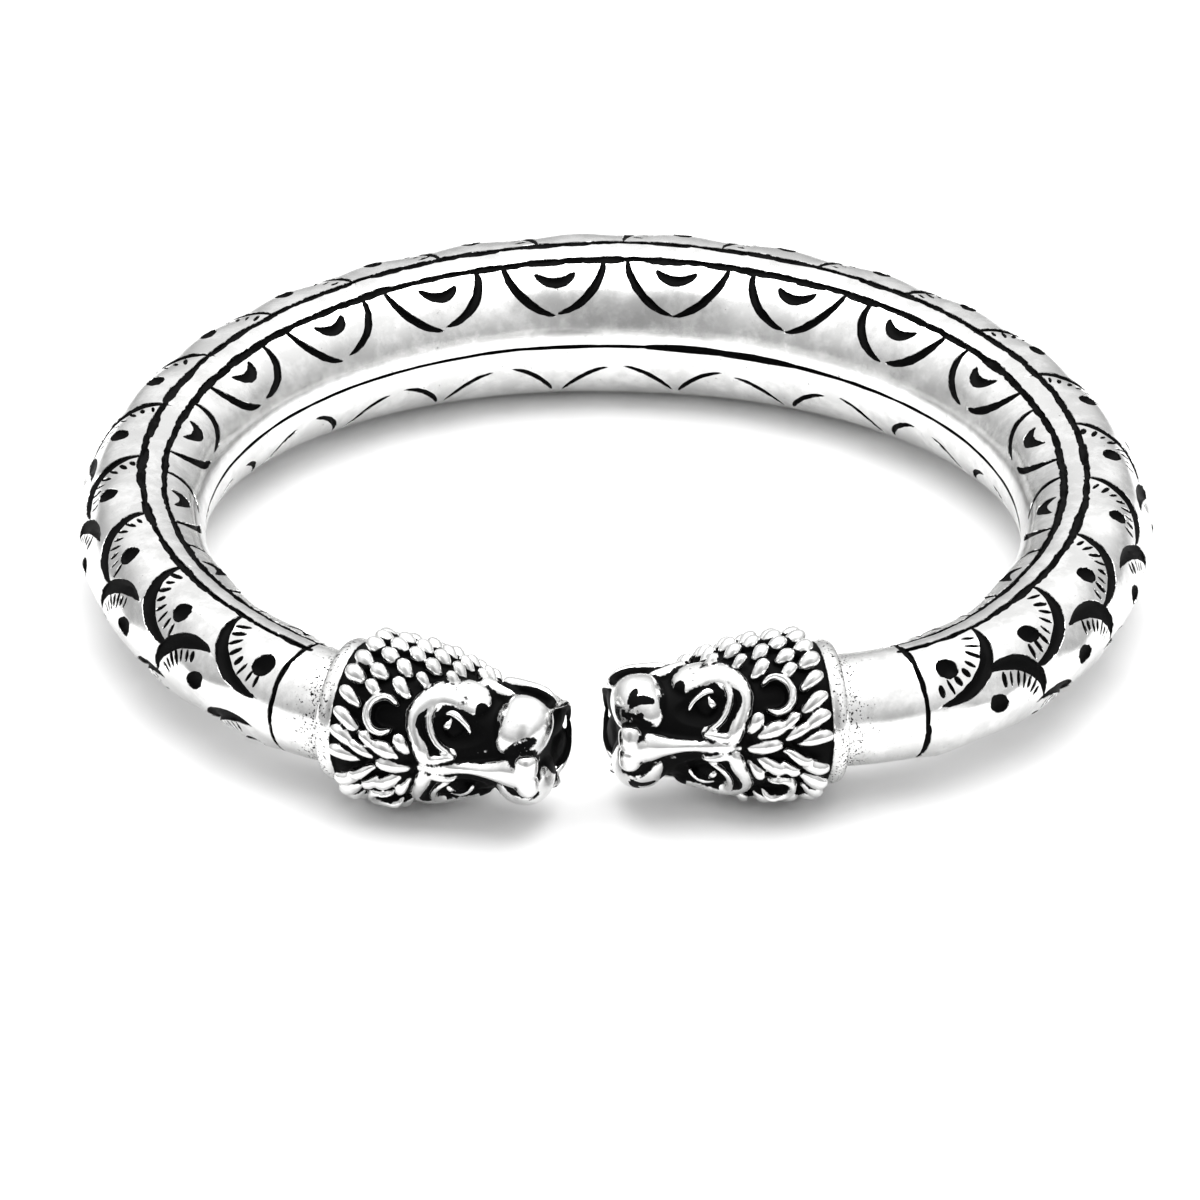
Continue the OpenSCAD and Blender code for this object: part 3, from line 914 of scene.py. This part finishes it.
# %% Depth of each point of a head
def smoothed(points, edges, rounds):
    """Moves every point towards the middle of its neighbours, as many times as there are rounds."""
    count = np.bincount(edges.ravel(), minlength=len(points))[:, None]
    for _ in range(rounds):
        total = np.stack([np.bincount(edges[:, 0], points[edges[:, 1], axis], len(points))
                          + np.bincount(edges[:, 1], points[edges[:, 0], axis], len(points))
                          for axis in range(3)], 1)
        points = 0.3 * points + 0.7 * total / np.maximum(1, count)
    return points


def hollow_depth(thing):
    """How far each point lies below a skin smoothed a little, and below one smoothed a lot."""
    edges = np.zeros(len(thing.data.edges) * 2, np.int32)
    thing.data.edges.foreach_get("vertices", edges)
    edges = edges.reshape(-1, 2)
    points = points_of(thing)
    fine = smoothed(points, edges, 14)
    coarse = smoothed(fine, edges, 90)
    normals = points_of(thing, "normal")
    small = ((fine - points) * normals).sum(1)
    large = ((coarse - points) * normals).sum(1)
    return small, large


def inside(points, table, grow=1.0):
    """1 on the middle line of a drawn-out form, 0 on its skin and less outside, on both cheeks."""
    mirrored = np.stack([points[:, 0], np.abs(points[:, 1]), points[:, 2]], 1)
    best = np.full(len(points), -9.0)
    for row in smooth_table(table, np.linspace(0, 1, 40)):
        middle = round_axis([row[:3]])[0]
        reach = grow * max(row[3], row[4])
        best = np.maximum(best, 1 - np.linalg.norm(mirrored - middle, axis=1) / reach)
    return best


small, large = hollow_depth(head)
for size, depths in (("small", small), ("large", large)):
    print(size, "hollows in mm, at 5, 50 and 95 %:", np.round(np.percentile(depths, (5, 50, 95)), 3))
places = points_of(head)
x = places[:, 0]
a = np.abs(np.degrees(np.arctan2(places[:, 1], places[:, 2])))
r = np.hypot(places[:, 1], places[:, 2])
# Where the mane ends and the face begins, by the angle from the crown line
face_from = np.interp(a, (0, 30, 50, 75, 95, 120, 180), (7.6, 6.3, 6.4, 7.6, 9.8, 11.2, 11.6))
in_mane = np.clip((face_from - x) / 0.3, 0, 1) * np.clip((x - 0.95) / 0.2, 0, 1)
below_top = np.clip(mane_top(x) - r, 0, 1.2)
oxide = small * 1.5 + large * 0.5 + in_mane * (below_top * 0.4 - 0.065)
# [form, how much it is grown, how much black it adds]
dark_zones = ((eye_hollow, 1.06, 0.2), (eye_hollow, 1.32, 0.07), (under_nose, 1.2, 0.14),
              (lip_groove, 1.15, 0.3), (ear_hole, 1.0, 0.3), (eye_ball, 1.3, 0.25), (cheek_hollow, 1.0, 0.3))
# The same of the forms that polishing reaches, with how much black it takes off
bright_zones = ((pupil, 1.5, 0.55), (inner_lid, 1.25, 0.3), (upper_lid, 1.15, 0.25))
for zone, grow, weight in dark_zones:
    oxide += weight * np.clip(inside(places, zone, grow) * 4 + 0.2, 0, 1)
mouth_rows = smooth_table(mouth, np.linspace(0, 1, 30))
mouth_r = np.interp(x, mouth_rows[:, 0], mouth_rows[:, 3], left=0)
in_mouth = mouth_r + 0.08 - np.hypot(places[:, 1], places[:, 2] + 1.2)
oxide += 0.4 * np.clip(in_mouth * 6, 0, 1)
for zone, grow, weight in bright_zones:
    oxide -= weight * np.clip(inside(places, zone, grow) * 4, 0, 1)
face = np.clip((x - face_from) / 0.4, 0, 1)
oxide += 0.05 * face
note(head, "specks", np.clip((1.15 - x) / 0.5, 0, 1) * 0.7)
note(head, "oxide", oxide)

# %% Set both heads on the ends of the tube
def on_end(end):
    """Where the left head stands, for an end on the side where x is negative."""
    place = path_at([end["side"] * end["length"]])[0][0]
    point = Vector((-abs(place[0]), place[1], 0))
    return (Matrix.Translation(point) @ Matrix.Rotation(math.radians(-end["aim"]), 4, "Z")
            @ Matrix.Rotation(math.radians(90 - end["roll"]), 4, "X"))


flipped = Matrix.Scale(-1, 4, (1, 0, 0))
left_head = head
right_head = copy_of(head)
long_whisker = [[15.0, 44, 4.1, 0.2, 0.2], [14.2, 49, 4.3, 0.36, 0.3], [13.4, 47, 4.2, 0.25, 0.2]]
short_whisker = [[14.4, 60, 4.2, 0.2, 0.2], [14.7, 54, 4.25, 0.32, 0.3], [15.1, 48, 4.1, 0.2, 0.2]]
for stroke in (long_whisker, short_whisker):
    oxide += 0.35 * np.clip(inside(places, stroke, 1.0) * 3, 0, 1)
note(right_head, "oxide", oxide)
left_head.name = left_head.data.name = "left_lion_head_silver"
right_head.name = right_head.data.name = "right_lion_head_silver"
left_head.data.transform(to_metres @ at_rest @ on_end(left_end))
right_head.data.transform(to_metres @ at_rest @ flipped @ on_end(right_end))
right_head.data.flip_normals()
for thing, node in ((left_head, "left_lion_head"), (right_head, "right_lion_head")):
    select_only(thing)
    bpy.ops.object.shade_smooth()
    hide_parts(node)
    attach(thing, "root")

# %% [markdown]
# ## Materials
# Both parts are silver that was blackened all over and then rubbed bright, so black is left in the
# hollows. One material function serves both: bright metal where its mask is 0, dull black where it
# is 1. The masks come from the numbers kept in the meshes, with noise to make the edges ragged.

# %% Shader maths
class Maths:
    """Wraps a socket of a node, so that an expression on it adds Math nodes."""

    def __init__(self, tree, socket):
        self.tree = tree
        self.socket = socket

    def node(self, kind, settings=None, inputs=None, output=0):
        """Adds a node with its settings, and values or links for its sockets by name or number."""
        made = self.tree.nodes.new(kind)
        for key, value in (settings or {}).items():
            setattr(made, key, value)
        for key, value in (inputs or {}).items():
            if isinstance(value, Maths):
                self.tree.links.new(value.socket, made.inputs[key])
            else:
                made.inputs[key].default_value = value
        return Maths(self.tree, made.outputs[output])

    def maths(self, operation, *values):
        return self.node("ShaderNodeMath", {"operation": operation}, dict(enumerate(values)))

    def __add__(self, other):
        return self.maths("ADD", self, other)

    def __radd__(self, other):
        return self.maths("ADD", other, self)

    def __sub__(self, other):
        return self.maths("SUBTRACT", self, other)

    def __rsub__(self, other):
        return self.maths("SUBTRACT", other, self)

    def __mul__(self, other):
        return self.maths("MULTIPLY", self, other)

    def __rmul__(self, other):
        return self.maths("MULTIPLY", other, self)

    def step(self, low, high):
        """0 below low, 1 above high, and smooth between them."""
        return self.node("ShaderNodeMapRange", {"interpolation_type": "SMOOTHSTEP"},
                         {0: self, 1: low, 2: high, 3: 0.0, 4: 1.0})

    def most(self, other):
        return self.maths("MAXIMUM", self, other)


def new_material(name):
    material = bpy.data.materials.new(name)
    material.use_nodes = True
    tree = material.node_tree
    shader = tree.nodes["Principled BSDF"]
    return material, Maths(tree, None), shader


def feed(value, socket):
    value.tree.links.new(value.socket, socket)


def noise(maths, place, scale, detail=3, rough=0.5):
    return maths.node("ShaderNodeTexNoise", None,
                      {"Vector": place, "Scale": scale, "Detail": detail, "Roughness": rough})


# %% Silver of the tube
dull_silver = (0.74, 0.74, 0.735, 1)
bright_silver = (0.93, 0.93, 0.925, 1)
oxide_colour = (0.0015, 0.0015, 0.0016, 1)


def hammered(maths, place):
    """Height of the soft unevenness that hammer and burnisher leave."""
    broad = noise(maths, place, 260, 2, 0.5)
    fine = noise(maths, place, 1500, 4, 0.6)
    return broad + fine * 0.15


def silver(name, black):
    """Burnished silver whose black oxide follows the mask that black() gives."""
    material, maths, shader = new_material(name)
    place = maths.node("ShaderNodeTexCoord", output=3)
    mask = black(maths, place)
    tint = noise(maths, place, 220, 4, 0.6)
    stain = noise(maths, place, 900, 3, 0.6)
    grey = maths.node("ShaderNodeMix", {"data_type": "RGBA"},
                      {0: (tint * 0.6 + stain * 0.4).step(0.42, 0.62),
                       6: dull_silver, 7: bright_silver}, output=2)
    colour = maths.node("ShaderNodeMix", {"data_type": "RGBA"},
                        {0: mask, 6: grey, 7: oxide_colour}, output=2)
    feed(colour, shader.inputs["Base Color"])
    feed(1 - mask, shader.inputs["Metallic"])
    feed((tint - 0.5) * 0.16 + 0.2 + mask * 0.35, shader.inputs["Roughness"])
    shader.inputs["Specular IOR Level"].default_value = 0.05
    bump = maths.node("ShaderNodeBump", None,
                      {"Height": hammered(maths, place), "Strength": 0.35, "Distance": 0.00012})
    feed(bump, shader.inputs["Normal"])
    return material


def specks_of(maths, place):
    """Small pits near the rims, where the burnisher did not reach."""
    near_rim = maths.node("ShaderNodeAttribute", {"attribute_name": "specks"}, output=2)
    spots = noise(maths, place, 5200, 2, 0.6)
    return (spots + near_rim * 0.18).step(0.71, 0.75) * near_rim.step(0.01, 0.1)


def tube_black(maths, place):
    depth = maths.node("ShaderNodeAttribute", {"attribute_name": "depth"}, output=2)
    ragged = noise(maths, place, 2600, 3, 0.7)
    return (depth + (ragged - 0.5) * 0.2).step(0.03, 0.06).most(specks_of(maths, place))


tube_silver = silver("tube_silver", tube_black)
tube.data.materials.clear()
tube.data.materials.append(tube_silver)


# %% Silver of the heads
def head_black(maths, place):
    oxide = maths.node("ShaderNodeAttribute", {"attribute_name": "oxide"}, output=2)
    ragged = noise(maths, place, 2400, 4, 0.7)
    torn = noise(maths, place, 900, 3, 0.6)
    black = (oxide + (ragged - 0.5) * 0.26 + (torn - 0.5) * 0.34).step(0.01, 0.08)
    return black.most(specks_of(maths, place))


head_silver = silver("head_silver", head_black)
for thing in (left_head, right_head):
    thing.data.materials.clear()
    thing.data.materials.append(head_silver)

# %% [markdown]
# ## Floor and light
# Polished silver only shows what is round it. The photograph looks as if taken in a white tent, so
# a white floor, a bright graded surrounding and one soft light above are enough. Ours has a dim
# spot in front, as an opening would be, which gives the metal its soft greys.

# %% The floor
bpy.ops.object.select_all(action="DESELECT")
bpy.ops.mesh.primitive_plane_add(size=3, location=(0, 0, 0))
floor = named("studio_floor")
paper, _, shader = new_material("white_paper")
shader.inputs["Base Color"].default_value = (0.93, 0.93, 0.93, 1)
shader.inputs["Roughness"].default_value = 0.9
shader.inputs["Specular IOR Level"].default_value = 0.1
floor.data.materials.append(paper)

# %% The lights
world = bpy.data.worlds.new("studio")
bpy.context.scene.world = world
world.use_nodes = True
tree = world.node_tree
background = tree.nodes["Background"]
sky = Maths(tree, None)
direction = sky.node("ShaderNodeTexCoord", output=0)
side_x, back_y, rise_z = [sky.node("ShaderNodeSeparateXYZ", None, {0: direction}, axis)
                          for axis in range(3)]
tent = rise_z.step(-0.1, 0.75) * 0.78 + 0.38 + side_x.step(-0.9, 0.9) * 0.06
gap_in_tent = (rise_z * 0.5 - back_y * 0.866).step(0.82, 1.0)
tent = tent * (1 - gap_in_tent * 0.5)
feed(sky.node("ShaderNodeCombineColor", None, {0: tent, 1: tent, 2: tent}), background.inputs[0])
background.inputs[1].default_value = 1.0

top_box = bpy.data.lights.new("top_box", "AREA")
top_box.shape = "RECTANGLE"
top_box.size = top_box.size_y = 0.5
top_box.energy = 2.2
light = bpy.data.objects.new("top_box", top_box)
bpy.context.scene.collection.objects.link(light)
light.location = (0, 0.05, 0.45)
light.rotation_euler = (-light.location).to_track_quat("-Z", "Y").to_euler()
bpy.context.scene.view_settings.view_transform = "Standard"
